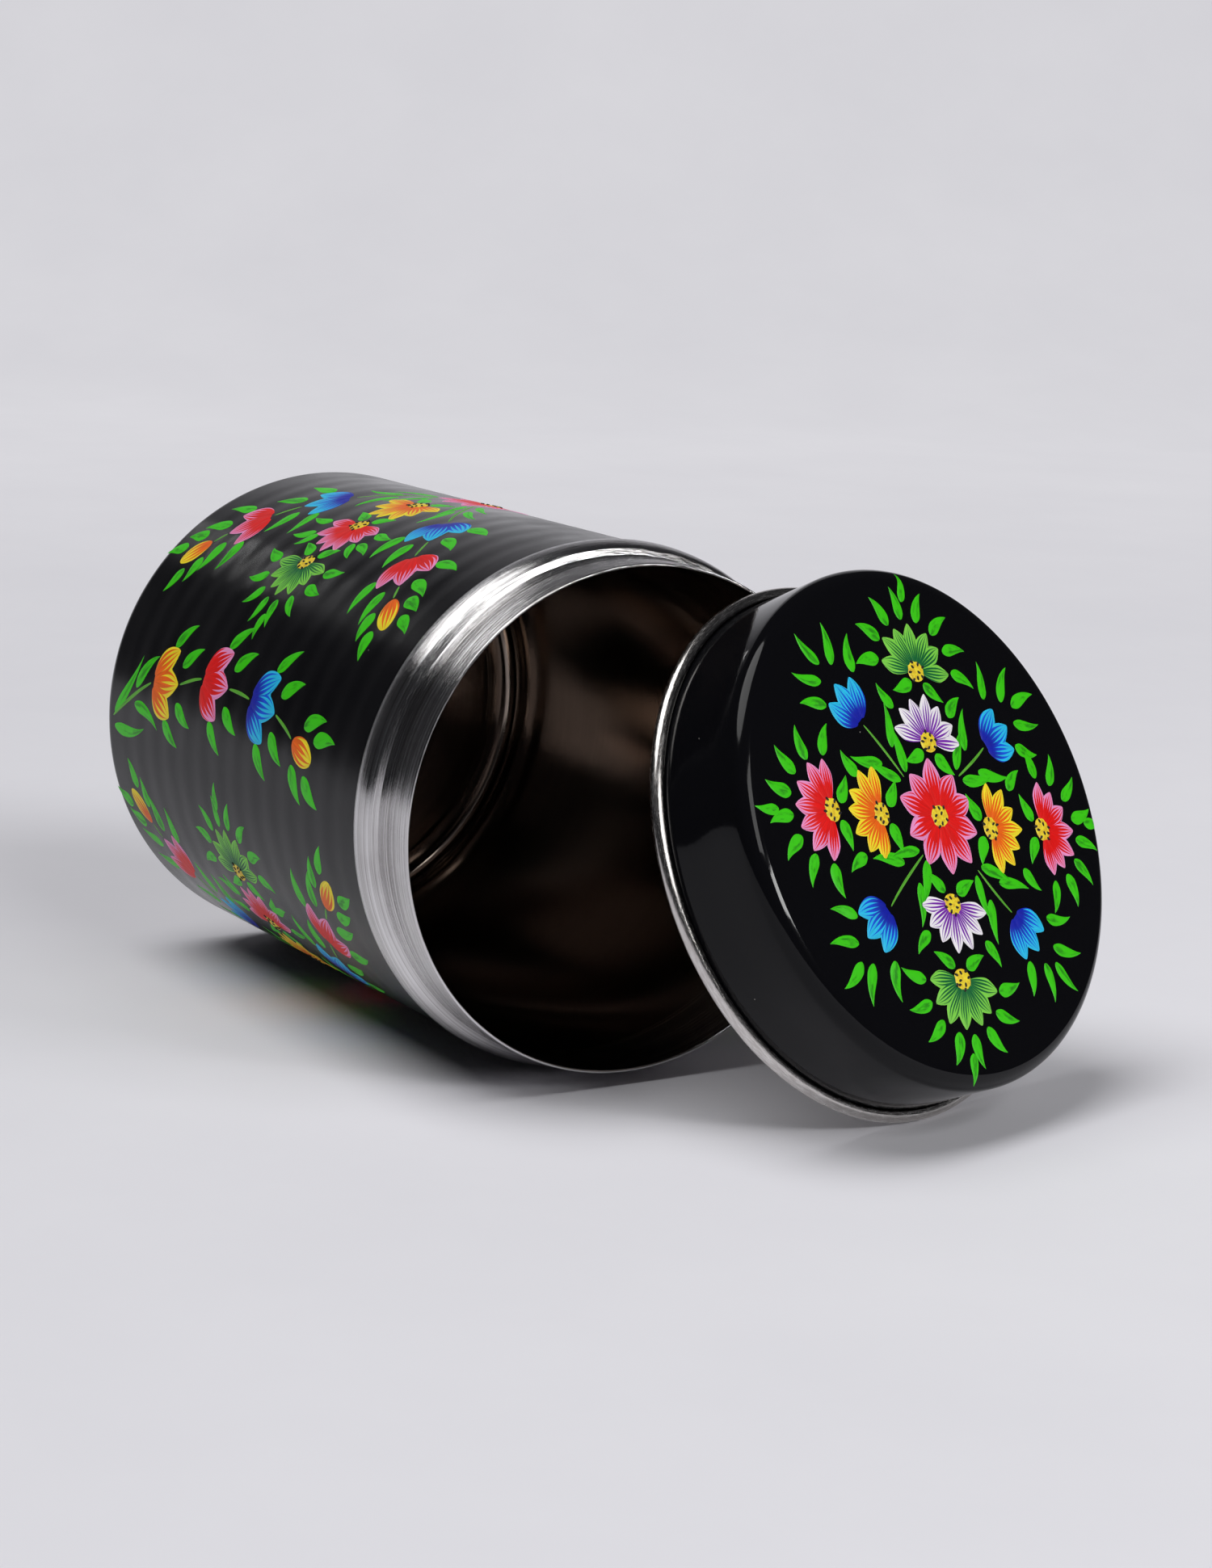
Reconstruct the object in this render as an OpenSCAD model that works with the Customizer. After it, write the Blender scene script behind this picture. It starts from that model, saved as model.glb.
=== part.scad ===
// Painted steel canister lying on its side, with its press-on lid off and
// leaning on the mouth. All sizes are in millimetres, +Z is up and the
// canister's own axis runs along +X, from its base to its mouth.

/* [Canister] */
// Largest radius, over the bare steel bead below the neck
bead_r = 52.5; // [45:0.5:60]
// Radius of the painted wall
body_r = 51.7; // [44.5:0.1:52.2]
// Height from the base to the lip
canister_h = 138; // [120:1:170]
// Radius of the rounded edge between the wall and the base
base_corner_r = 4.5; // [3:0.5:6]
// Number of shallow spun ribs along the wall
rib_count = 13; // [6:1:18]
// Depth of each spun rib
rib_depth = 0.05; // [0.05:0.01:0.3]

/* [Neck] */
// Outer radius of the neck band that the lid slides over
neck_r = 49.9; // [43:0.1:50]
// Height of the neck band, from the groove to the lip
neck_h = 11; // [8:0.5:14]
// Height of the mirror bright bead, from the paint to the groove
bead_h = 5.8; // [4:0.2:8]

/* [Lid] */
// Overall height of the lid, without the raised middle of its face
lid_h = 22.8; // [18:0.2:28]
// Radial clearance between the neck band and the inside of the lid
lid_clearance = 0.2; // [0.1:0.05:0.4]
// Radius of the rolled steel rim's section
roll_r = 1.4; // [1:0.1:1.6]
// Radius of the rounded edge between the lid's skirt and face
lid_edge_r = 3.4; // [2:0.2:5]
// Radius of the raised middle of the lid's face
panel_r = 32.5; // [24:0.5:38]
// Height of the raised middle of the lid's face
panel_rise = 0.3; // [0.2:0.1:1]

/* [Sheet] */
// Thickness of the canister's steel sheet
wall_t = 0.6; // [0.4:0.05:0.8]
// Thickness of the lid's steel sheet
lid_wall_t = 0.45; // [0.35:0.05:0.6]
// Thickness of the baked black lacquer coat
coat_t = 0.15; // [0.1:0.05:0.2]

/* [Lean] */
// Angle that the lid's face leans back from upright
lean_tilt = 24.7; // [20:0.1:30]
// Angle that the lid's face is turned away from the canister's axis
lean_turn = 15.9; // [10:0.1:22]
// Sideways distance from the canister's axis to the middle of the lid
lean_side = 35.4; // [30:0.1:40]
// Distance from the lip to the middle of the lid's rim, along the axis
lean_ahead = 21.6; // [21.6:0.1:40]

/* [Hidden] */
$fn = 180;

STEEL = "silver";
LACQUER = "#17161a";

// Straight pieces that a round corner, or one rib, is drawn with
EDGE_STEPS = 10;
RIB_STEPS = 6;

// Canister, as heights above the base and radii from its axis
wall_out_r = body_r - coat_t;
wall_in_r = wall_out_r - wall_t;
groove_z = canister_h - neck_h;
bead_z = groove_z - bead_h;
wall_lap = 0.7; // part of the bead's height that the wall's top edge reaches inside it
wall_top_z = bead_z + wall_lap * bead_h;
tail_drop = 0.8; // how far the neck ring's tail reaches down inside the wall
tail_z = bead_z - tail_drop;
neck_in_r = neck_r - wall_t;
neck_lead = 0.5; // how far the neck's inside widens towards the wall
lead_above = 1.5; // heights from the groove where that widening starts and ends
lead_below = 1;
lip_r = wall_t / 2;

// Bead: a flat lower edge, then a hump that ends in the groove
bead_edge_w = 0.5;
bead_edge_h = 0.4;
bead_edge_back = 0.1;
bead_hump_z = bead_z + 1.1;
bead_hump_h = bead_h - 1.5;
bead_hump_end = 80; // degrees, where the hump turns into the groove
groove_r = neck_r + 0.1;
groove_h = 0.6;

// Base pan: a raised middle with a foot ring around it
foot_r = wall_out_r - base_corner_r;
foot_w = 2.4;
pan_rise = 1.8;
pan_slope = 1.6;
coat_stop = 18; // degrees of the base corner that stay bare beside the foot

// Lid, as heights above the bottom of its rim and radii from its axis
lid_in_r = neck_r + lid_clearance;
lid_steel_r = lid_in_r + lid_wall_t;
lid_out_r = lid_steel_r + coat_t;
roll_c_r = lid_in_r + roll_r;
roll_end = 470; // degrees, where the rolled edge stops short of the skirt
lid_coat_z = 2.3;
waist_depth = 0.12;
panel_slope = 4;

// The lid's place: the middle of its rolled rim, which rests on z = 0
lid_z = roll_c_r * cos(lean_tilt) + roll_r;
lid_x = canister_h + lean_ahead;
lid_axis = [
    cos(lean_tilt) * cos(lean_turn),
    cos(lean_tilt) * sin(lean_turn),
    sin(lean_tilt),
];

// Half of a tilted disc's extent along one row axis, and the lid's far side
// there, measured from the middle of its rim
function disc_reach(r, axis_part) = r * sqrt(1 - axis_part * axis_part);
function lid_far(i) = max([for (p = lid_rings()) p[1] * lid_axis[i] + disc_reach(p[0], lid_axis[i])]);
// Radius and height above the rim's middle of each ring that can reach
// furthest: the rolled rim, and the points of the rounded edge
function lid_rings() = concat(
    [for (a = [0:6:354]) [roll_c_r + roll_r * cos(a), roll_r * sin(a)]],
    [for (p = lid_edge(0)) [p[0], p[1] - roll_r]]
);

// The origin is the middle of the whole object's box, on the floor
origin_x = (lid_x + lid_far(0)) / 2;
origin_y = (lean_side + lid_far(1) - bead_r) / 2;

// Points of a circular or elliptical arc, from angle a0 to a1 in n steps
function arc(c, rx, rz, a0, a1, n) = [
    for (i = [0:n]) let (a = a0 + (a1 - a0) * i / n) [c[0] + rx * cos(a), c[1] + rz * sin(a)]
];

// Outline of the ribbed wall at radius r, from height z0 up to z1
rib_margin = 6;
rib_start = 0.1; // the coat's straight wall starts this far above its round corner
rib_first_z = base_corner_r + rib_margin;
rib_pitch = (bead_z - rib_margin - rib_first_z) / rib_count;
function rib_dip(z) = let (u = (z - rib_first_z) / rib_pitch)
    (u <= 0 || u >= rib_count) ? 0 : rib_depth * (1 - cos(360 * u)) / 2;
function ribbed(r, z0, z1) = concat(
    [[r, z0]],
    [for (i = [0:rib_count * RIB_STEPS])
        let (z = rib_first_z + i * rib_pitch / RIB_STEPS)
        [r - rib_dip(z), z]],
    [[r, z1]]
);

// The pan's upper or lower side, offset by d towards the inside
function pan_side(d) = concat(
    [[0, pan_rise + d]],
    [[foot_r - foot_w - pan_slope, pan_rise + d]],
    [[foot_r - foot_w, d]],
    arc([foot_r, base_corner_r], base_corner_r - d, base_corner_r - d, -90, 0, EDGE_STEPS)
);

// The lid's rounded edge, offset inwards by d, from the skirt to the face
function lid_edge(d) = arc(
    [lid_out_r - lid_edge_r, lid_h - lid_edge_r],
    lid_edge_r - d, lid_edge_r - d, 0, 90, EDGE_STEPS
);
// The lid's skirt with its shallow waist, offset inwards by d, from z0 up
function lid_skirt(d, z0) = [
    for (i = [0:8])
        let (z = z0 + (lid_h - lid_edge_r - z0) * i / 8)
        [lid_out_r - d - waist_depth * (1 - cos(45 * i)) / 2, z]
];
// The lid's face with its raised middle, offset inwards by d
function lid_face(d) = concat(
    [for (i = [0:6]) [
        panel_r + panel_slope * (1 - i / 6),
        lid_h - d + panel_rise * (1 - cos(30 * i)) / 2
    ]],
    [[0, lid_h - d + panel_rise]]
);
function lid_side(d, z0) = concat(lid_skirt(d, z0), lid_edge(d), lid_face(d));

function reversed(list) = [for (i = [len(list) - 1:-1:0]) list[i]];

module spun(outline) {
    rotate_extrude() polygon(outline);
}

// Turns a piece's own +Z to the canister's axis, lying on the floor
module in_canister() {
    translate([-origin_x, -origin_y, bead_r]) rotate([0, 90, 0]) children();
}

// Stands a piece of the lid on its rim, leaning on the mouth
module in_lid() {
    translate([lid_x - origin_x, lean_side - origin_y, lid_z])
        rotate([0, 90 - lean_tilt, lean_turn])
            translate([0, 0, -roll_r]) children();
}

module canister_wall() {
    color(STEEL) in_canister() spun(concat(
        ribbed(wall_out_r, base_corner_r, wall_top_z),
        [[wall_in_r, wall_top_z], [wall_in_r, base_corner_r]]
    ));
}

module base_pan() {
    color(STEEL) in_canister() spun(concat(pan_side(0), reversed(pan_side(wall_t))));
}

// Bead, groove, neck band and lip, with a tail inside the wall's top edge
module neck_ring() {
    hump_c_r = groove_r + bead_edge_w;
    hump = arc(
        [hump_c_r, bead_hump_z], bead_r - hump_c_r, bead_hump_h, 0, bead_hump_end, EDGE_STEPS
    );
    lip = arc([neck_r - lip_r, canister_h - lip_r], lip_r, lip_r, 0, 180, EDGE_STEPS);
    tail_r = neck_in_r + neck_lead;
    color(STEEL) in_canister() spun(concat(
        [[tail_r, tail_z], [wall_in_r, tail_z], [wall_in_r, wall_top_z], [wall_out_r, wall_top_z]],
        [[wall_out_r, bead_z], [bead_r - bead_edge_w, bead_z]],
        [[bead_r - bead_edge_back, bead_z + bead_edge_h]],
        hump,
        [[groove_r, groove_z], [neck_r, groove_z + groove_h]],
        lip,
        [[neck_in_r, groove_z + lead_above], [tail_r, groove_z - lead_below]]
    ));
}

module canister_lacquer() {
    corner = [foot_r, base_corner_r];
    out_r = base_corner_r + coat_t;
    low_z = base_corner_r + rib_start;
    bare = coat_stop - 90;
    color(LACQUER) in_canister() spun(concat(
        arc(corner, out_r, out_r, bare, 0, EDGE_STEPS),
        ribbed(body_r, low_z, bead_z),
        reversed(ribbed(wall_out_r, low_z, bead_z)),
        reversed(arc(corner, base_corner_r, base_corner_r, bare, 0, EDGE_STEPS))
    ));
}

module lid_shell() {
    color(STEEL) in_lid() spun(concat(
        lid_side(coat_t, roll_r),
        reversed(lid_side(coat_t + lid_wall_t, roll_r))
    ));
}

module lid_rolled_rim() {
    centre = [roll_c_r, roll_r];
    inner_r = roll_r - lid_wall_t;
    color(STEEL) in_lid() spun(concat(
        arc(centre, roll_r, roll_r, 180, roll_end, 24),
        reversed(arc(centre, inner_r, inner_r, 180, roll_end, 24))
    ));
}

module lid_lacquer() {
    color(LACQUER) in_lid() spun(concat(
        lid_side(0, lid_coat_z),
        reversed(lid_side(coat_t, lid_coat_z))
    ));
}

canister_wall();
base_pan();
neck_ring();
canister_lacquer();
lid_shell();
lid_rolled_rim();
lid_lacquer();
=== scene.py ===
"""Looks for the painted steel canister and its press-on lid.

Sizes are in millimetres, as in the CAD part, and become metres as a mesh is made.
A turned piece is a closed outline of (radius, height) points, spun about its own +Z.
The painting is laid out flat, stroke by stroke, and then laid on the lacquer.
"""
import math
import random

import bpy
from mathutils import Matrix, Vector


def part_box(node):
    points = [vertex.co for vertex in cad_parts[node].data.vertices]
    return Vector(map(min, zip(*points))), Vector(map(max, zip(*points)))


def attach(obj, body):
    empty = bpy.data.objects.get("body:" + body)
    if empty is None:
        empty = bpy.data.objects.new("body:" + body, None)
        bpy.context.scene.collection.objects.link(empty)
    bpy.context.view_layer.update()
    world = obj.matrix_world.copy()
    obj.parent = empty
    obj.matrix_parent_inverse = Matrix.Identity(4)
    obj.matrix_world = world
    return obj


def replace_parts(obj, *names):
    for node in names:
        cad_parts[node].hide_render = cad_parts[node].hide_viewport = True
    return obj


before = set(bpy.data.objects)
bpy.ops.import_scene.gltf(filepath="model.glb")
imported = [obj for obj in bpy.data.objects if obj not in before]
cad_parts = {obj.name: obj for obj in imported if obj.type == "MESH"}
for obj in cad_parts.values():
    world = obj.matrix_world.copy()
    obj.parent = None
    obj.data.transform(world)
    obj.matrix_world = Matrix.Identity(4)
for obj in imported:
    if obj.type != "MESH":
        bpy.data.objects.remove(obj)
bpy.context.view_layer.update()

MM = 0.001

# Canister, as radii and as heights above its base
BEAD_R = 52.5
BODY_R = 51.7
HEIGHT = 138.0
CORNER_R = 4.5
NECK_R = 49.9
NECK_H = 11.0
BEAD_H = 5.8
WALL_T = 0.6
COAT_T = 0.15
RIBS = 13
RIB_DEPTH = 0.05
RIB_MARGIN = 6
RIB_START = 0.1
WALL_LAP = 0.7
BEAD_EDGE_W = 0.5
NECK_LEAD = 0.5
TAIL_DROP = 0.8
WALL_OUT_R = BODY_R - COAT_T
WALL_IN_R = WALL_OUT_R - WALL_T
GROOVE_Z = HEIGHT - NECK_H
BEAD_Z = GROOVE_Z - BEAD_H
WALL_TOP_Z = BEAD_Z + WALL_LAP * BEAD_H
RIB_FIRST_Z = CORNER_R + RIB_MARGIN
RIB_PITCH = (BEAD_Z - RIB_MARGIN - RIB_FIRST_Z) / RIBS
FOOT_R = WALL_OUT_R - CORNER_R
FOOT_W = 2.4
PAN_RISE = 1.8
PAN_SLOPE = 1.6
COAT_STOP = 18

# Lid, as radii and as heights above the bottom of its rim
LID_H = 22.8
LID_T = 0.45
LID_CLEARANCE = 0.2
LID_IN_R = NECK_R + LID_CLEARANCE
LID_OUT_R = LID_IN_R + LID_T + COAT_T
LID_EDGE_R = 3.4
LID_COAT_Z = 2.3
WAIST = 0.12
ROLL_R = 1.4
ROLL_C_R = LID_IN_R + ROLL_R
ROLL_END = 470
PANEL_R = 32.5
PANEL_SLOPE = 4.0
PANEL_RISE = 0.3
LEAN_TILT = 24.7
LEAN_TURN = 15.9

TURNS = 288


# ---------------------------------------------------------------- places

def middle(node):
    """The middle of a CAD piece's box."""
    low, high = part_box(node)
    return (Vector(low) + Vector(high)) / 2


def canister_place():
    """Turns +Z to the canister's axis, with zero height at its base."""
    neck = middle("neck_ring")
    base_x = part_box("base_pan")[0][0]
    return Matrix.Translation((base_x, neck.y, neck.z)) @ Matrix.Rotation(math.radians(90), 4, "Y")


def lid_place():
    """Leans the lid on the mouth, with zero height at the bottom of its rim."""
    return (
        Matrix.Translation(middle("lid_rolled_rim"))
        @ Matrix.Rotation(math.radians(LEAN_TURN), 4, "Z")
        @ Matrix.Rotation(math.radians(90 - LEAN_TILT), 4, "Y")
        @ Matrix.Translation((0, 0, -ROLL_R * MM))
    )


CANISTER = canister_place()
LID = lid_place()


# -------------------------------------------------------------- outlines

def arc(centre, radius, start, end, steps):
    """Points of an arc about centre, from start to end degrees."""
    angles = [math.radians(start + (end - start) * i / steps) for i in range(steps + 1)]
    return [(centre[0] + radius * math.cos(a), centre[1] + radius * math.sin(a)) for a in angles]


def wave(part):
    """A smooth hump: 0 at whole numbers, 1 half way between them."""
    return (1 - math.cos(2 * math.pi * part)) / 2


def rib_dip(height):
    """How far the ribbed wall dips inwards at a height."""
    part = (height - RIB_FIRST_Z) / RIB_PITCH
    return RIB_DEPTH * wave(part) if 0 < part < RIBS else 0


def ribbed(radius, low, high):
    """The ribbed wall's line at a radius, from one height up to another."""
    steps = RIBS * 16
    heights = [low + (high - low) * i / steps for i in range(steps + 1)]
    return [(radius - rib_dip(h), h) for h in heights]


def pan_side(inset):
    """The base pan's underside or, with an inset, its upper side."""
    return [
        (0, PAN_RISE + inset),
        (FOOT_R - FOOT_W - PAN_SLOPE - 0.4, PAN_RISE + inset),
        (FOOT_R - FOOT_W - PAN_SLOPE, PAN_RISE + inset - 0.12),
        (FOOT_R - FOOT_W - 0.2, inset + 0.15),
        (FOOT_R - FOOT_W + 0.3, inset),
        *arc((FOOT_R, CORNER_R), CORNER_R - inset, -90, 0, 24),
    ]


def face_height(radius):
    """Height of the lid's outer face at a radius, over its rounded edge too."""
    flat_r = LID_OUT_R - LID_EDGE_R
    if radius > flat_r:
        reach = min(radius - flat_r, LID_EDGE_R)
        return LID_H - LID_EDGE_R + math.sqrt(LID_EDGE_R ** 2 - reach ** 2)
    part = min(max((PANEL_R + PANEL_SLOPE - radius) / PANEL_SLOPE, 0), 1)
    return LID_H + PANEL_RISE * wave(part / 2)


def lid_side(inset, low):
    """The lid's skirt, rounded edge and face, inset by some thickness."""
    edge_z = LID_H - LID_EDGE_R
    skirt = [
        (LID_OUT_R - inset - WAIST * wave(i / 16), low + (edge_z - low) * i / 16) for i in range(16)
    ]
    edge = arc((LID_OUT_R - LID_EDGE_R, edge_z), LID_EDGE_R - inset, 0, 90, 20)
    radii = [PANEL_R + PANEL_SLOPE * (1 - i / 16) for i in range(17)]
    return skirt + edge + [(r, face_height(r) - inset) for r in radii] + [(0, LID_H + PANEL_RISE - inset)]


def neck_outline():
    """Bead, groove, neck band with its turned steps, and the round lip."""
    lip_r = WALL_T / 2
    in_r = NECK_R - WALL_T
    tail_r = in_r + NECK_LEAD
    tail_z = BEAD_Z - TAIL_DROP
    groove_r = NECK_R + 0.1
    hump_c_r = groove_r + BEAD_EDGE_W
    hump = [
        (hump_c_r + (BEAD_R - hump_c_r) * x, BEAD_Z + 1.1 + (BEAD_H - 1.5) * z)
        for x, z in arc((0, 0), 1, 0, 80, 28)
    ]
    # Steps of the turned band, as heights above the groove and changes of radius
    band = [
        (0, 0.1), (0.25, 0.05), (0.7, 0), (3, 0), (3.25, -0.05),
        (3.55, -0.05), (3.8, 0), (7.2, 0), (7.4, -0.04),
    ]
    steps = [(NECK_R + change, GROOVE_Z + up) for up, change in band]
    lip = arc((NECK_R - 0.04 - lip_r, HEIGHT - lip_r), lip_r, 0, 180, 14)
    inside = [
        (in_r - 0.04, GROOVE_Z + 2.2), (in_r + 0.1, GROOVE_Z + 0.8), (tail_r, GROOVE_Z - 0.6),
        (tail_r, tail_z), (WALL_IN_R, tail_z), (WALL_IN_R, WALL_TOP_Z),
        (WALL_OUT_R, WALL_TOP_Z), (WALL_OUT_R, BEAD_Z),
    ]
    edge = [(BEAD_R - BEAD_EDGE_W, BEAD_Z), (BEAD_R - 0.25, BEAD_Z + 0.1), (BEAD_R - 0.1, BEAD_Z + 0.4)]
    return edge + hump + steps + lip + inside


# ---------------------------------------------------------------- meshes

def make_piece(name, points, faces, body, material, attribute, values):
    """A smooth mesh piece with one vector kept at each point for its material."""
    mesh = bpy.data.meshes.new(name)
    mesh.from_pydata(points, [], faces)
    layer = mesh.attributes.new(attribute, "FLOAT_VECTOR", "POINT")
    layer.data.foreach_set("vector", [number for value in values for number in value])
    mesh.shade_smooth()
    mesh.set_sharp_from_angle(angle=math.radians(38))
    mesh.materials.append(material)
    piece = bpy.data.objects.new(name, mesh)
    bpy.context.scene.collection.objects.link(piece)
    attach(piece, body)
    return piece


def lathe(name, outline, place, body, material):
    """A turned piece. Its points keep (cosine, sine, distance along the outline)."""
    points, values, rings = [], [], []
    run = 0
    for i, (radius, height) in enumerate(outline):
        run += math.dist(outline[i - 1], outline[i]) if i else 0
        turns = TURNS if radius > 1e-6 else 1
        rings.append((len(points), turns))
        for j in range(turns):
            angle = 2 * math.pi * j / turns
            side = (math.cos(angle), math.sin(angle))
            points.append(place @ (Vector((radius * side[0], radius * side[1], height)) * MM))
            values.append((side[0], side[1], run))
    faces = []
    for (first, turns), (after, turns_after) in zip(rings, rings[1:] + rings[:1]):
        for j in range(TURNS if turns + turns_after > 2 else 0):
            k = (j + 1) % TURNS
            corners = [first + j % turns, first + k % turns, after + k % turns_after, after + j % turns_after]
            faces.append(tuple(dict.fromkeys(corners)))
    return make_piece(name, points, faces, body, material, "turned", values)


# ------------------------------------------------------------- materials

def colour(red, green, blue):
    """A screen colour, 0 to 255, as linear light."""
    linear = [c / 255 / 12.92 if c < 11 else ((c / 255 + 0.055) / 1.055) ** 2.4 for c in (red, green, blue)]
    return (*linear, 1)


class Finish:
    """A Principled material and short ways to add the nodes that drive it."""

    def __init__(self, name, **settings):
        self.material = bpy.data.materials.new(name)
        self.material.use_nodes = True
        self.nodes = self.material.node_tree.nodes
        self.shader = self.nodes["Principled BSDF"]
        for socket, value in settings.items():
            self.shader.inputs[socket.replace("_", " ")].default_value = value

    def link(self, source, target):
        self.material.node_tree.links.new(source, target)

    def put(self, node, inputs):
        for key, value in inputs.items():
            if isinstance(value, bpy.types.NodeSocket):
                self.link(value, node.inputs[key])
            else:
                node.inputs[key].default_value = value
        return node

    def maths(self, operation, *inputs):
        node = self.nodes.new("ShaderNodeMath")
        node.operation = operation
        return self.put(node, dict(enumerate(inputs))).outputs[0]

    def ramp(self, value, low, high, to_low=0, to_high=1):
        node = self.nodes.new("ShaderNodeMapRange")
        node.interpolation_type = "SMOOTHSTEP"
        return self.put(node, {0: value, 1: low, 2: high, 3: to_low, 4: to_high}).outputs[0]

    def mix(self, part, first, second):
        node = self.nodes.new("ShaderNodeMix")
        node.data_type = "RGBA"
        return self.put(node, {"Factor": part, 6: first, 7: second}).outputs[2]

    def noise(self, vector, scale, detail=2.0, roughness=0.5):
        node = self.nodes.new("ShaderNodeTexNoise")
        self.put(node, {"Vector": vector, "Scale": scale, "Detail": detail, "Roughness": roughness})
        return node.outputs[0]

    def attribute(self, name):
        node = self.nodes.new("ShaderNodeAttribute")
        node.attribute_name = name
        return node.outputs["Vector"]

    def split(self, vector):
        node = self.nodes.new("ShaderNodeSeparateXYZ")
        return self.put(node, {0: vector}).outputs

    def join(self, x, y, z):
        node = self.nodes.new("ShaderNodeCombineXYZ")
        return self.put(node, {0: x, 1: y, 2: z}).outputs[0]

    def place(self):
        return self.nodes.new("ShaderNodeTexCoord").outputs["Object"]

    def bump(self, height, strength, distance):
        node = self.nodes.new("ShaderNodeBump")
        self.put(node, {"Height": height, "Strength": strength, "Distance": distance})
        self.link(node.outputs[0], self.shader.inputs["Normal"])

    def drive(self, socket, source):
        self.link(source, self.shader.inputs[socket])


def lacquer(name, roughness, ior):
    """Baked black lacquer: glossy, a little uneven, with a few specks of dust."""
    finish = Finish(name, IOR=ior)
    place = finish.place()
    specks = finish.nodes.new("ShaderNodeTexVoronoi")
    finish.put(specks, {"Vector": place, "Scale": 420})
    rare = finish.maths("GREATER_THAN", finish.split(specks.outputs["Color"])[0], 0.965)
    near = finish.maths("LESS_THAN", specks.outputs["Distance"], 0.045)
    speck = finish.maths("MULTIPLY", rare, near)
    finish.drive("Base Color", finish.mix(speck, (0.0035, 0.0035, 0.0045, 1), (0.35, 0.33, 0.30, 1)))
    haze = finish.noise(place, 45, 4, 0.6)
    finish.drive("Roughness", finish.ramp(haze, 0.3, 0.7, roughness * 0.75, roughness * 1.35))
    finish.bump(finish.noise(place, 260, 2), 0.05, 0.0004)
    return finish.material


def turned_steel(name, tone, smooth, rough, lines, depth, shade=0.82):
    """Bare steel with fine lines that run round the piece, some of them shaded."""
    finish = Finish(name, Metallic=1.0)
    cosine, sine, run = finish.split(finish.attribute("turned"))
    around = finish.join(
        finish.maths("MULTIPLY", cosine, 0.6), finish.maths("MULTIPLY", sine, 0.6),
        finish.maths("MULTIPLY", run, lines),
    )
    grooves = finish.noise(around, 1, 5, 0.7)
    patches = finish.noise(finish.place(), 30, 4, 0.6)
    dark = (tone[0] * shade, tone[1] * shade * 0.97, tone[2] * shade * 0.95, 1)
    mixed = finish.maths(
        "ADD", finish.maths("MULTIPLY", grooves, 0.7), finish.maths("MULTIPLY", patches, 0.3),
    )
    finish.drive("Base Color", finish.mix(finish.ramp(mixed, 0.38, 0.6), dark, tone))
    worn = finish.maths("ADD", finish.maths("MULTIPLY", grooves, 0.6), finish.maths("MULTIPLY", patches, 0.4))
    finish.drive("Roughness", finish.ramp(worn, 0.35, 0.65, smooth, rough))
    finish.bump(grooves, depth, 0.0002)
    return finish.material


def rim_steel():
    """Rolled rim: bright steel with small scratches along it."""
    finish = Finish("rolled_rim_steel", Metallic=1.0)
    cosine, sine, run = finish.split(finish.attribute("turned"))
    around = finish.join(
        finish.maths("MULTIPLY", cosine, 24), finish.maths("MULTIPLY", sine, 24),
        finish.maths("MULTIPLY", run, 5),
    )
    scratches = finish.noise(around, 1, 4, 0.7)
    tone = finish.mix(finish.ramp(scratches, 0.35, 0.7), (0.50, 0.47, 0.45, 1), (0.74, 0.72, 0.70, 1))
    finish.drive("Base Color", tone)
    finish.drive("Roughness", finish.ramp(scratches, 0.3, 0.7, 0.12, 0.30))
    finish.bump(scratches, 0.25, 0.0001)
    return finish.material


def brushed_paint(name, root, tip, reach, teeth, length, border=0.0, middle_tone=None):
    """Petal paint: the root colour is combed out over the tip colour in pointed streaks.

    reach is how far up the stroke the root colour goes, length how far the streaks go on,
    and border how much the tip colour comes down along the stroke's sides.
    """
    finish = Finish(name, Roughness=0.45, IOR=1.35)
    along, across, seed = finish.split(finish.attribute("stroke"))
    comb = finish.maths("MULTIPLY_ADD", across, teeth / 2, finish.maths("MULTIPLY", seed, 9))
    tooth = finish.maths("MULTIPLY", finish.maths("PINGPONG", comb, 0.5), 2)
    uneven = finish.noise(finish.join(comb, finish.maths("MULTIPLY", seed, 60), 0), 1.3, 1)
    streak = finish.maths("MULTIPLY", finish.maths("MULTIPLY", tooth, uneven), 2 * length)
    side = finish.maths("MULTIPLY", finish.maths("POWER", finish.maths("ABSOLUTE", across), 3), border)
    limit = finish.maths("SUBTRACT", finish.maths("ADD", streak, reach), side)
    part = finish.ramp(finish.maths("SUBTRACT", along, limit), -0.03, 0.03)
    base = root
    if middle_tone:
        base = finish.mix(finish.ramp(along, 0.15, 0.6), root, middle_tone)
    bristle_place = finish.join(
        finish.maths("MULTIPLY", across, 7), finish.maths("MULTIPLY", along, 1.6),
        finish.maths("MULTIPLY", seed, 80),
    )
    bristles = finish.noise(bristle_place, 1, 3, 0.65)
    mixed = finish.mix(part, base, tip)
    shade = finish.nodes.new("ShaderNodeHueSaturation")
    finish.put(shade, {"Color": mixed, "Value": finish.ramp(bristles, 0.3, 0.7, 0.82, 1.08)})
    finish.drive("Base Color", shade.outputs[0])
    finish.bump(bristles, 0.35, 0.0001)
    return finish.material


def leaf_paint(name, light, dark):
    """Leaf paint: one bright green with a darker smear where the brush pressed."""
    finish = Finish(name, Roughness=0.42, IOR=1.35)
    along, across, seed = finish.split(finish.attribute("stroke"))
    spot = finish.join(
        finish.maths("MULTIPLY", across, 1.4), finish.maths("MULTIPLY", along, 2.2),
        finish.maths("MULTIPLY", seed, 70),
    )
    smear = finish.noise(spot, 1, 3, 0.6)
    inner = finish.ramp(finish.maths("ABSOLUTE", across), 0.25, 0.8, 1, 0)
    part = finish.maths("MULTIPLY", finish.ramp(smear, 0.46, 0.66), inner)
    finish.drive("Base Color", finish.mix(part, light, dark))
    finish.bump(smear, 0.3, 0.0001)
    return finish.material


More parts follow.
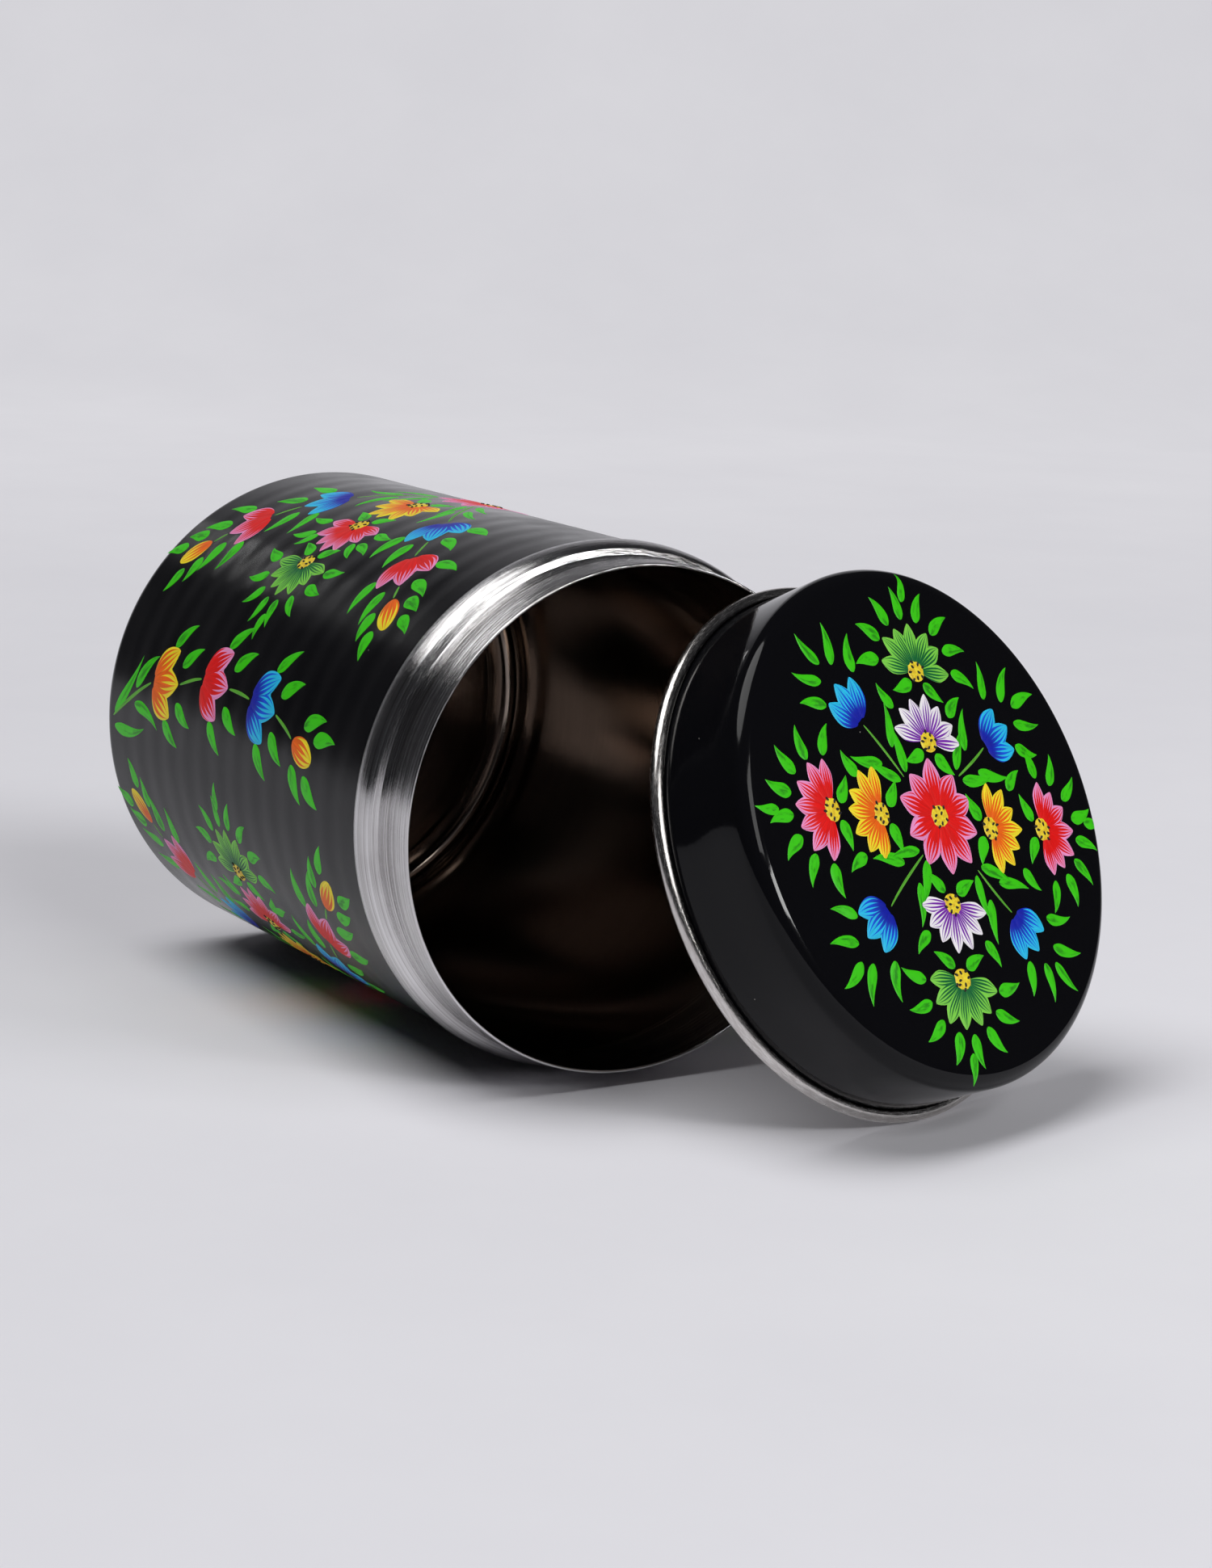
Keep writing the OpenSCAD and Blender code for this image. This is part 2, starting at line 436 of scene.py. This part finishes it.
def plain_paint(name, tone, shade):
    """Small dabs of one colour, a little uneven."""
    finish = Finish(name, Roughness=0.45)
    dabs = finish.noise(finish.place(), 1400, 2)
    finish.drive("Base Color", finish.mix(finish.ramp(dabs, 0.35, 0.65), shade, tone))
    finish.bump(dabs, 0.4, 0.0001)
    return finish.material


# -------------------------------------------------------------- painting

def polar(start, distance, heading):
    angle = math.radians(heading)
    return (start[0] + distance * math.cos(angle), start[1] + distance * math.sin(angle))


def pointed(part, widest, fall=1.7):
    """A stroke that swells to its widest place and then runs out to a point."""
    if part < widest:
        return math.sin(math.pi / 2 * part / widest) ** 0.85
    return 1 - ((part - widest) / (1 - widest)) ** fall


def petal_shape(part):
    return pointed(part, 0.62, 1.55)


def tulip_shape(part):
    return pointed(part, 0.48, 1.9)


def leaf_shape(part):
    """A full blade that ends in a thin tail where the brush lifts off."""
    if part < 0.3:
        return math.sin(math.pi / 2 * part / 0.3) ** 0.8
    rest = (part - 0.3) / 0.7
    return (1 - rest) ** 1.35 * (1 + 1.2 * rest)


def bud_shape(part):
    return math.sin(math.pi * part) ** 0.6


def round_shape(part):
    return 2 * math.sqrt(max(part * (1 - part), 0))


def stem_shape(part):
    return 0.45 + 0.55 * math.sin(math.pi * part)


class Painting:
    """Brush strokes laid out flat in millimetres, then laid on one surface.

    surface(u, v, lift) gives the point in metres that stands lift above the lacquer.
    """

    STEPS = 16
    ACROSS = (-1, -0.8, -0.45, 0, 0.45, 0.8, 1)
    SUNK = -0.04

    def __init__(self, name, body, surface, seed):
        self.name = name
        self.body = body
        self.surface = surface
        self.random = random.Random(seed)
        self.layers = {}

    def jitter(self, amount):
        return self.random.uniform(-amount, amount)

    def stroke(self, layer, root, heading, length, width, shape, bend=0, lift=0.06):
        """One closed, slightly domed stroke of paint that follows a bent spine."""
        points, faces, values = self.layers.setdefault(layer, ([], [], []))
        seed = self.random.random()
        spot = root
        rows = []
        for i in range(self.STEPS + 1):
            part = i / self.STEPS
            turn = heading + bend * (part ** 2 - 0.33)
            if i:
                spot = polar(spot, length / self.STEPS, turn)
            half = width / 2 * shape(part)
            end = i in (0, self.STEPS)
            rows.append([])
            for side in (0,) if end else self.ACROSS:
                dome = 0 if end else (1 - side ** 4) * min(1, 3.5 * math.sin(math.pi * part))
                u, v = polar(spot, half * side, turn + 90)
                rows[-1].append(len(points))
                points.append(self.surface(u, v, self.SUNK + (lift - self.SUNK) * dome))
                values.append((part, side, seed))
        lower = []
        for i, row in enumerate(rows):
            if len(row) == 1:
                lower.append(row)
                continue
            lower.append([row[0]])
            for k in row[1:-1]:
                side = values[k][1]
                lower[-1].append(len(points))
                points.append(points[row[0]].lerp(points[row[-1]], (side + 1) / 2))
                values.append(values[k])
            lower[-1].append(row[-1])
        for sheet, flip in ((rows, True), (lower, False)):
            for near, far in zip(sheet, sheet[1:]):
                for j in range(len(self.ACROSS) - 1):
                    corners = [near[min(j, len(near) - 1)], near[min(j + 1, len(near) - 1)],
                               far[min(j + 1, len(far) - 1)], far[min(j, len(far) - 1)]]
                    face = tuple(dict.fromkeys(reversed(corners) if flip else corners))
                    faces.append(face)

    def leaf(self, root, heading, length, width=3.4, bend=None):
        """A leaf whose tip curls one way or the other."""
        curl = self.random.choice((-1, 1)) * 34 if bend is None else bend
        self.stroke("leaves", root, heading + self.jitter(5), length, width * (1 + self.jitter(0.1)),
                    leaf_shape, curl + self.jitter(6), 0.05)

    def stem(self, root, tip, width=0.7, bend=8):
        length = math.dist(root, tip)
        heading = math.degrees(math.atan2(tip[1] - root[1], tip[0] - root[0]))
        self.stroke("stems", root, heading, length, width, stem_shape, bend, 0.035)

    def eye(self, centre, radius, heading):
        """The yellow middle of a flower, with its ring of small black dots."""
        start = polar(centre, radius * 1.05, heading + 180)
        self.stroke("flower_eyes", start, heading, 2.1 * radius, 2 * radius, round_shape, 0, 0.13)
        for i in range(9):
            angle = heading + 137.5 * i
            spot = polar(centre, radius * 0.8 * math.sqrt((i + 0.3) / 9), angle)
            self.stroke("eye_dots", spot, angle + self.jitter(50), 0.95, 0.66, bud_shape, 0, 0.27)

    def petals(self, layer, centre, headings, reach, eye_r, fullness):
        """A ring or fan of petals round an eye."""
        step = abs(headings[1] - headings[0])
        width = 2 * 0.72 * reach * math.tan(math.radians(step / 2)) * fullness
        for i, heading in enumerate(headings):
            length = reach * (1 + self.jitter(0.06)) - 1
            self.stroke(layer, polar(centre, 1, heading), heading + self.jitter(3), length,
                        width * (1 + self.jitter(0.06)), petal_shape, self.jitter(8), 0.07 + 0.012 * (i % 2))
        self.eye(centre, eye_r, headings[0])

    def daisy(self, layer, centre, reach):
        """Ten petals all round an eye."""
        self.petals(layer, centre, [11 + 36 * i for i in range(10)], reach, 2.5, 1.06)

    def half_daisy(self, layer, centre, facing, reach):
        """Seven petals that open one way, with a pair of leaves behind the eye."""
        self.petals(layer, centre, [facing + 28 * i for i in range(-3, 4)], reach, 2.3, 1.16)
        for side in (-1, 1):
            self.leaf(polar(centre, 2.6, facing + 180 - 35 * side), facing + 180 - 62 * side, 6.6, 3.3,
                      bend=-20 * side)

    def crown(self, centre, facing, radius=10):
        """The fan of leaves round an outer flower."""
        for i in range(8):
            side = i / 3.5 - 1
            angle = facing + 84 * side
            self.leaf(polar(centre, radius, angle), angle + 22 * side, 7.4, 3.1, bend=-34 if side < 0 else 34)
        self.leaf(polar(centre, radius + 3.6, facing + 6), facing + 4, 6.6, 2.6)
        for side in (-1, 1):
            self.leaf(polar(centre, radius + 1.3, facing + 138 * side), facing + 43 * side, 6.6, 3.1)

    def tulip(self, layer, root, facing, size=10, open_by=27):
        """Three pointed petals that stand in a filled cup with a round bottom."""
        self.stroke(layer, polar(root, size * 0.01, facing), facing, size * 0.72, size * 0.86,
                    round_shape, 0, 0.05)
        for side in (-1, 1):
            self.stroke(layer, polar(root, size * 0.1, facing + 90 * side), facing + (open_by - 2) * side,
                        size * 0.93, size * 0.56, tulip_shape, -12 * side, 0.07)
        self.stroke(layer, polar(root, size * 0.03, facing), facing, size * 0.97, size * 0.58,
                    tulip_shape, 4, 0.085)


# The lid's face: u to its right and v up, seen from outside
LID_OUTER = [("red_petals", (-28, 6.3), 165), ("red_petals", (31, -5.7), -8),
             ("green_petals", (7, 29), 76), ("green_petals", (-5.7, -29.7), -106)]
LID_INNER = [("orange_petals", (-14.8, 3.7), 168), ("orange_petals", (15.5, -3.3), -8),
             ("violet_petals", (4.6, 15.3), 73), ("violet_petals", (-2.2, -15.7), -105)]
LID_BRANCHES = [
    ((-5, 9), 123, 14.5, -1), ((10, 7.5), 24, 12, 1), ((-5.7, -5), 211, 17, 1), ((7.7, -10), -56, 12.5, 1),
]
# Leaves beyond a tulip: distance and angle from its root, heading and length
TULIP_LEAVES = [
    (9.4, 44, 50, 8.5), (11.8, 16, 36, 9), (13.5, 5, -6, 8.5), (11.4, -6, -38, 8.5), (9, -30, -50, 7.5),
]


def on_lid(u, v, lift):
    height = face_height(math.hypot(u, v)) + lift
    return LID @ (Vector((-v, u, height)) * MM)


def paint_lid():
    """A daisy in the middle, four arms of half daisies and four tulip branches between them."""
    art = Painting("lid", "lid", on_lid, 3)
    art.daisy("red_petals", (1.5, 1), 11)
    for layer, centre, facing in LID_INNER:
        art.half_daisy(layer, centre, facing, 9.3)
    for layer, centre, facing in LID_OUTER:
        art.half_daisy(layer, centre, facing, 9.8)
        art.crown(centre, facing)
    for start, heading, length, turn in LID_BRANCHES:
        end = polar(start, length, heading)
        art.stem(start, end)
        art.tulip("blue_petals", end, heading - 4, 9.3)
        for side in (-1, 1):
            near = polar(polar(start, 0.6, heading), 1, heading + 90 * side)
            art.leaf(near, heading + 27 * side, 10, 2.8, bend=-26 * side)
            art.leaf(polar(near, 5.5, heading + 12 * side), heading + 42 * side, 9.5, 2.9, bend=-26 * side)
        for distance, angle, leaf_heading, leaf_length in TULIP_LEAVES:
            root = polar(end, distance, heading + angle * turn)
            art.leaf(root, heading + leaf_heading * turn, leaf_length, 2.9)
    return art


# The canister's wall: u along it from the base, v round it, up and over the top
MEDALLION_U = 58.5
MEDALLION_PHI = -12.5
GARLAND_PHI = 77.5


def round_wall(phi):
    """Distance round the wall, upwards, at an angle down from the top."""
    return -BODY_R * math.radians(phi)


def on_canister(u, v, lift):
    phi = -v / BODY_R
    radius = BODY_R - rib_dip(u) + lift
    return CANISTER @ (Vector((-radius * math.cos(phi), -radius * math.sin(phi), u)) * MM)


def sprig(art, layer, root, facing, size, leaf=9.5):
    """A tulip or a bud with two leaves on each side of its tip. Gives the tip."""
    if layer == "buds":
        art.stroke("orange_petals", root, facing, size, size * 0.62, bud_shape, 6, 0.08)
        pairs = ((0.45, 62, 34), (0.85, 26, 24))
    else:
        art.tulip(layer, root, facing, size, 33)
        pairs = ((0.8, 50, 42), (1.02, 17, 32))
    for side in (-1, 1):
        for distance, angle, heading in pairs:
            spot = polar(root, size * distance, facing + angle * side)
            art.leaf(spot, facing + heading * side, leaf, 3.8, bend=-26 * side)
    return polar(root, size, facing)


def spray(art, start, heading, mirror):
    """A stem with a blue tulip, a red tulip and a bud, away from a medallion's middle."""
    turn = math.copysign(1, heading)

    def at(u, v):
        return (start[0] + mirror * u, start[1] + v * turn)

    def towards(degrees):
        return 180 - degrees if mirror < 0 else degrees

    stops = [("blue_petals", (21, 22.5), 11), ("red_petals", (32, 36.5), 11), ("buds", (41.5, 48), 9.5)]
    art.stem(at(5, 6), at(21, 22.5), 0.9, 6)
    for side in (-1, 1):
        art.leaf(at(8 - side, 9 + side), towards(turn * (47 + 20 * side)), 12, 2.4)
        art.leaf(at(13 - side, 14.5 + side), towards(turn * (47 + 30 * side)), 11, 2.6)
    last = None
    for layer, place, size in stops:
        if last:
            art.stem(last, at(*place), 0.8, 4)
        last = sprig(art, layer, at(*place), towards(turn * 49), size, 7.5 if layer == "buds" else 9.5)


def medallion(art, middle_v):
    """A daisy with three half daisies above and below it and four sprays."""
    middle_spot = (MEDALLION_U, middle_v)
    art.daisy("red_petals", middle_spot, 11.5)
    for facing in (-90, 90):
        way = math.copysign(1, facing)
        art.half_daisy("orange_petals", (MEDALLION_U, middle_v + way * 18), facing, 10.5)
        art.half_daisy("red_petals", (MEDALLION_U, middle_v + way * 32), facing, 10.2)
        art.half_daisy("green_petals", (MEDALLION_U, middle_v + way * 46), facing, 9.8)
        art.crown((MEDALLION_U, middle_v + way * 46), facing)
        for side in (-1, 1):
            beside = (MEDALLION_U + 10 * side, middle_v + way * 33)
            beyond = (beside[0] - side * 0.6, beside[1] + way * 4.4)
            outwards = 90 - 90 * side
            art.leaf(beside, outwards + way * side * 8, 7.5, 2.9)
            art.leaf(beyond, outwards + way * side * 26, 7.5, 2.9)
        for mirror in (-1, 1):
            spray(art, middle_spot, facing, mirror)


# The garland's foot leaves: root from the garland's line, heading and length
FOOT_LEAVES = [((6, -10), 52, 19), ((16, -3), 51, 12.5), ((6, -12.5), 8, 17), ((16, -6), -14, 14)]


def garland(art, v):
    """A branch along the wall, from the base to the neck."""
    first, second, third, last = (24, v), (46.5, v + 4.4), (69.5, v + 4), (91, v - 0.4)
    art.stem((5, v - 11), first, 1.1, -8)
    for root, heading, length in FOOT_LEAVES:
        art.leaf((root[0], v + root[1]), heading, length, 3.4)
    tips = [
        sprig(art, "orange_petals", first, 6, 12.5),
        sprig(art, "red_petals", second, 0, 12.5),
        sprig(art, "blue_petals", third, -4, 12),
    ]
    for tip, root in zip(tips, (second, third, last)):
        art.stem(tip, root, 0.9, -10)
    sprig(art, "buds", last, -17, 10)


def paint_canister():
    """Two medallions, above and below, and a garland along each side between them."""
    art = Painting("canister", "canister", on_canister, 5)
    for half_turn in (0, 180):
        medallion(art, round_wall(MEDALLION_PHI + half_turn))
        garland(art, round_wall(GARLAND_PHI + half_turn))
    return art


# ---------------------------------------------------------------- pieces

def build_steel_and_lacquer():
    """The seven turned pieces, each in place of its CAD node."""
    neck = turned_steel("neck_steel", (0.72, 0.71, 0.715, 1), 0.05, 0.2, 3.2, 0.5, 0.5)
    # The inside wall and the base pan get a dark brown tone, though they are the same bare steel as the neck:
    # painted shade for the dim inside of the canister, which also darkens the base's underside.
    wall = turned_steel("inside_steel", (0.23, 0.19, 0.165, 1), 0.08, 0.15, 1.2, 0.08)
    base = turned_steel("base_steel", (0.25, 0.21, 0.18, 1), 0.07, 0.13, 2.0, 0.08)
    shell = turned_steel("lid_inside_steel", (0.50, 0.45, 0.42, 1), 0.12, 0.26, 1.5, 0.15)
    body_black = lacquer("canister_lacquer", 0.2, 1.29)
    lid_black = lacquer("lid_lacquer", 0.07, 1.26)
    corner = (FOOT_R, CORNER_R)
    coat_low = COAT_STOP - 90
    on_can = (CANISTER, "canister")
    on_top = (LID, "lid")
    wall_line = ribbed(WALL_OUT_R, CORNER_R, WALL_TOP_Z) + [(WALL_IN_R, WALL_TOP_Z), (WALL_IN_R, CORNER_R)]
    pan_line = pan_side(0) + pan_side(WALL_T)[::-1]
    coat_line = (
        arc(corner, CORNER_R + COAT_T, coat_low, 0, 20)
        + ribbed(BODY_R, CORNER_R + RIB_START, BEAD_Z)
        + ribbed(WALL_OUT_R, CORNER_R + RIB_START, BEAD_Z)[::-1]
        + arc(corner, CORNER_R, coat_low, 0, 20)[::-1]
    )
    inner_roll = ROLL_R - LID_T
    centre = (ROLL_C_R, ROLL_R)
    roll_line = arc(centre, ROLL_R, 180, ROLL_END, 56) + arc(centre, inner_roll, 180, ROLL_END, 56)[::-1]
    shell_line = lid_side(COAT_T, ROLL_R) + lid_side(COAT_T + LID_T, ROLL_R)[::-1]
    skin_line = lid_side(0, LID_COAT_Z) + lid_side(COAT_T, LID_COAT_Z)[::-1]
    turned = [
        ("steel_wall", wall_line, *on_can, "wall_steel", wall, "canister_wall"),
        ("steel_base", pan_line, *on_can, "base_steel", base, "base_pan"),
        ("steel_neck", neck_outline(), *on_can, "neck_steel", neck, "neck_ring"),
        ("black_coat", coat_line, *on_can, "canister_black_lacquer", body_black, "canister_lacquer"),
        ("lid_steel", shell_line, *on_top, "lid_steel", shell, "lid_shell"),
        ("lid_rim", roll_line, *on_top, "lid_rim_steel", rim_steel(), "lid_rolled_rim"),
        ("lid_black_coat", skin_line, *on_top, "lid_black_lacquer", lid_black, "lid_lacquer"),
    ]
    for name, outline, place, body, slot, material, node in turned:
        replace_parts(lathe(name, outline, place, body, material), node)


def build_painting():
    """All strokes of one colour on one body are joined as one piece."""
    red, pink = colour(232, 12, 8), colour(242, 150, 204)
    paints = {
        "leaves": ("leaf_green_paint", leaf_paint("leaf_paint", colour(58, 204, 6), colour(34, 140, 8))),
        "stems": ("leaf_green_paint", leaf_paint("stem_paint", colour(96, 176, 50), colour(50, 140, 24))),
        "red_petals": ("red_paint", brushed_paint("red_brushed", red, pink, 0.46, 6, 0.56, 0.55)),
        "orange_petals": ("orange_paint", brushed_paint(
            "orange_brushed", colour(244, 104, 4), colour(250, 228, 40), 0.3, 5, 0.66, 0.45)),
        "violet_petals": ("purple_paint", brushed_paint(
            "violet_brushed", colour(122, 26, 172), colour(246, 242, 246), 0.16, 5, 0.8, 0.5)),
        "green_petals": ("deep_green_paint", brushed_paint(
            "green_brushed", colour(4, 104, 50), colour(128, 214, 74), 0.2, 6, 0.78, 0.4)),
        "blue_petals": ("blue_paint", brushed_paint(
            "blue_brushed", colour(6, 24, 168), colour(40, 196, 240), 0.26, 6, 0.62, 0.1,
            colour(14, 84, 222))),
        "flower_eyes": ("yellow_paint", plain_paint("eye_paint", colour(248, 226, 44), colour(226, 186, 30))),
        "eye_dots": ("dot_black_paint", plain_paint("dot_paint", colour(30, 20, 14), colour(14, 10, 8))),
    }
    for art in (paint_lid(), paint_canister()):
        for layer, (points, faces, values) in art.layers.items():
            slot, material = paints[layer]
            make_piece(f"{art.name}_{layer}", points, faces, art.body, material, "stroke", values)


# ----------------------------------------------------------------- stage

FLOOR_HALF = 2.2
WALL_AWAY = 1.7
WALL_BEND = 0.5
WALL_TOP = 1.2
WALL_LEFT = 2.6
WALL_RIGHT = 0.5
SHEET_GLOW = 0.82
VIEW_YAW = 31.455


def build_stage():
    """A pale sheet that lies flat and bends up behind the object, where it glows as bright as it lies."""
    away = Vector((-math.cos(math.radians(VIEW_YAW)), math.sin(math.radians(VIEW_YAW)), 0))
    along = Vector((away.y, -away.x, 0))
    runs = [(-FLOOR_HALF, 0), (0, 0), (WALL_AWAY - WALL_BEND, 0)]
    runs += [(x, z + WALL_BEND) for x, z in arc((WALL_AWAY - WALL_BEND, 0), WALL_BEND, -90, 0, 24)]
    runs += [(WALL_AWAY, WALL_TOP)]
    points, values = [], []
    for run, up in runs:
        for side in (-WALL_LEFT, WALL_RIGHT):
            points.append(away * run + along * side + Vector((0, 0, up)))
            values.append((run, side, up))
    faces = [(i, i + 1, i + 3, i + 2) for i in range(0, len(points) - 2, 2)]
    mesh = bpy.data.meshes.new("pale_sheet")
    mesh.from_pydata(points, [], faces)
    mesh.shade_smooth()
    layer = mesh.attributes.new("sheet", "FLOAT_VECTOR", "POINT")
    layer.data.foreach_set("vector", [number for value in values for number in value])
    finish = Finish("pale_paper", Roughness=0.85, IOR=1.3)
    run, side, up = finish.split(finish.attribute("sheet"))
    mottle = finish.noise(finish.place(), 9, 5, 0.6)
    paper = finish.mix(mottle, colour(226, 225, 231), colour(236, 235, 240))
    # The glow is painted light: the upright part of the sheet shines by itself in place of lamp light falling
    # on it. It dims towards the left and the top, which darkens the reflections on that side of the lacquer.
    glow = finish.ramp(run, 0.3, WALL_AWAY - WALL_BEND - 0.1)
    left_fade = finish.ramp(side, -1.9, -0.5, 0.12, 1)
    top_fade = finish.ramp(up, 0.35, 1.1, 1, 0.5)
    strength = finish.maths("MULTIPLY", glow, finish.maths("MULTIPLY", left_fade, top_fade))
    finish.drive("Base Color", finish.mix(glow, paper, (0, 0, 0, 1)))
    finish.drive("Emission Color", paper)
    finish.drive("Emission Strength", finish.maths("MULTIPLY", strength, SHEET_GLOW))
    mesh.materials.append(finish.material)
    sheet = bpy.data.objects.new("pale_sheet", mesh)
    bpy.context.scene.collection.objects.link(sheet)


def direction(azimuth, elevation):
    flat, up = math.radians(azimuth), math.radians(elevation)
    return Vector((math.cos(up) * math.cos(flat), math.cos(up) * math.sin(flat), math.sin(up)))


def light(name, azimuth, elevation, distance, width, height, watts):
    """A soft box that looks at the object from a direction."""
    data = bpy.data.lights.new(name, "AREA")
    data.shape = "RECTANGLE"
    data.size, data.size_y = width, height
    data.energy = watts
    box = bpy.data.objects.new(name, data)
    way = direction(azimuth, elevation)
    box.location = way * distance + Vector((0, 0, 0.05))
    box.rotation_euler = way.to_track_quat("Z", "Y").to_euler()
    bpy.context.scene.collection.objects.link(box)


def sun(azimuth, elevation, strength, spread):
    """An even, soft light over everything, from a wide patch of sky."""
    data = bpy.data.lights.new("soft_sky", "SUN")
    data.energy = strength
    data.angle = math.radians(spread)
    lamp = bpy.data.objects.new("soft_sky", data)
    way = direction(azimuth, elevation)
    lamp.rotation_euler = way.to_track_quat("Z", "Y").to_euler()
    bpy.context.scene.collection.objects.link(lamp)


def build_lights():
    """An even sky, a key and a fill, a thin strip for the left edge and a dim room."""
    sun(248, 68, 1.9, 42)
    light("left_strip", 190, 26, 1.2, 0.3, 0.012, 0.06)
    light("right_key", 30, 22, 2.0, 0.75, 0.22, 14)
    light("front_fill", 5, 38, 3.0, 1.2, 1.0, 20)
    world = bpy.data.worlds.new("dim_room")
    world.use_nodes = True
    world.node_tree.nodes["Background"].inputs["Color"].default_value = (0.9, 0.92, 1.0, 1)
    world.node_tree.nodes["Background"].inputs["Strength"].default_value = 0.03
    bpy.context.scene.world = world
    bpy.context.scene.view_settings.view_transform = "Standard"


def build_camera():
    """A long lens that looks at the open mouth from a little above."""
    data = bpy.data.cameras.new("camera")
    data.sensor_fit = "HORIZONTAL"
    data.sensor_width = 36
    data.lens = 101.8
    data.clip_start, data.clip_end = 0.05, 20
    camera = bpy.data.objects.new("camera", data)
    turn = [(90 - VIEW_YAW, "Z"), (90 - 11.69, "X"), (2.02, "Z")]
    aim = Matrix.Identity(4)
    for degrees, axis in turn:
        aim = aim @ Matrix.Rotation(math.radians(degrees), 4, axis)
    camera.matrix_world = Matrix.Translation((0.5813, -0.3584, 0.1924)) @ aim
    bpy.context.scene.collection.objects.link(camera)
    bpy.context.scene.camera = camera


build_camera()
build_steel_and_lacquer()
build_painting()
build_stage()
build_lights()
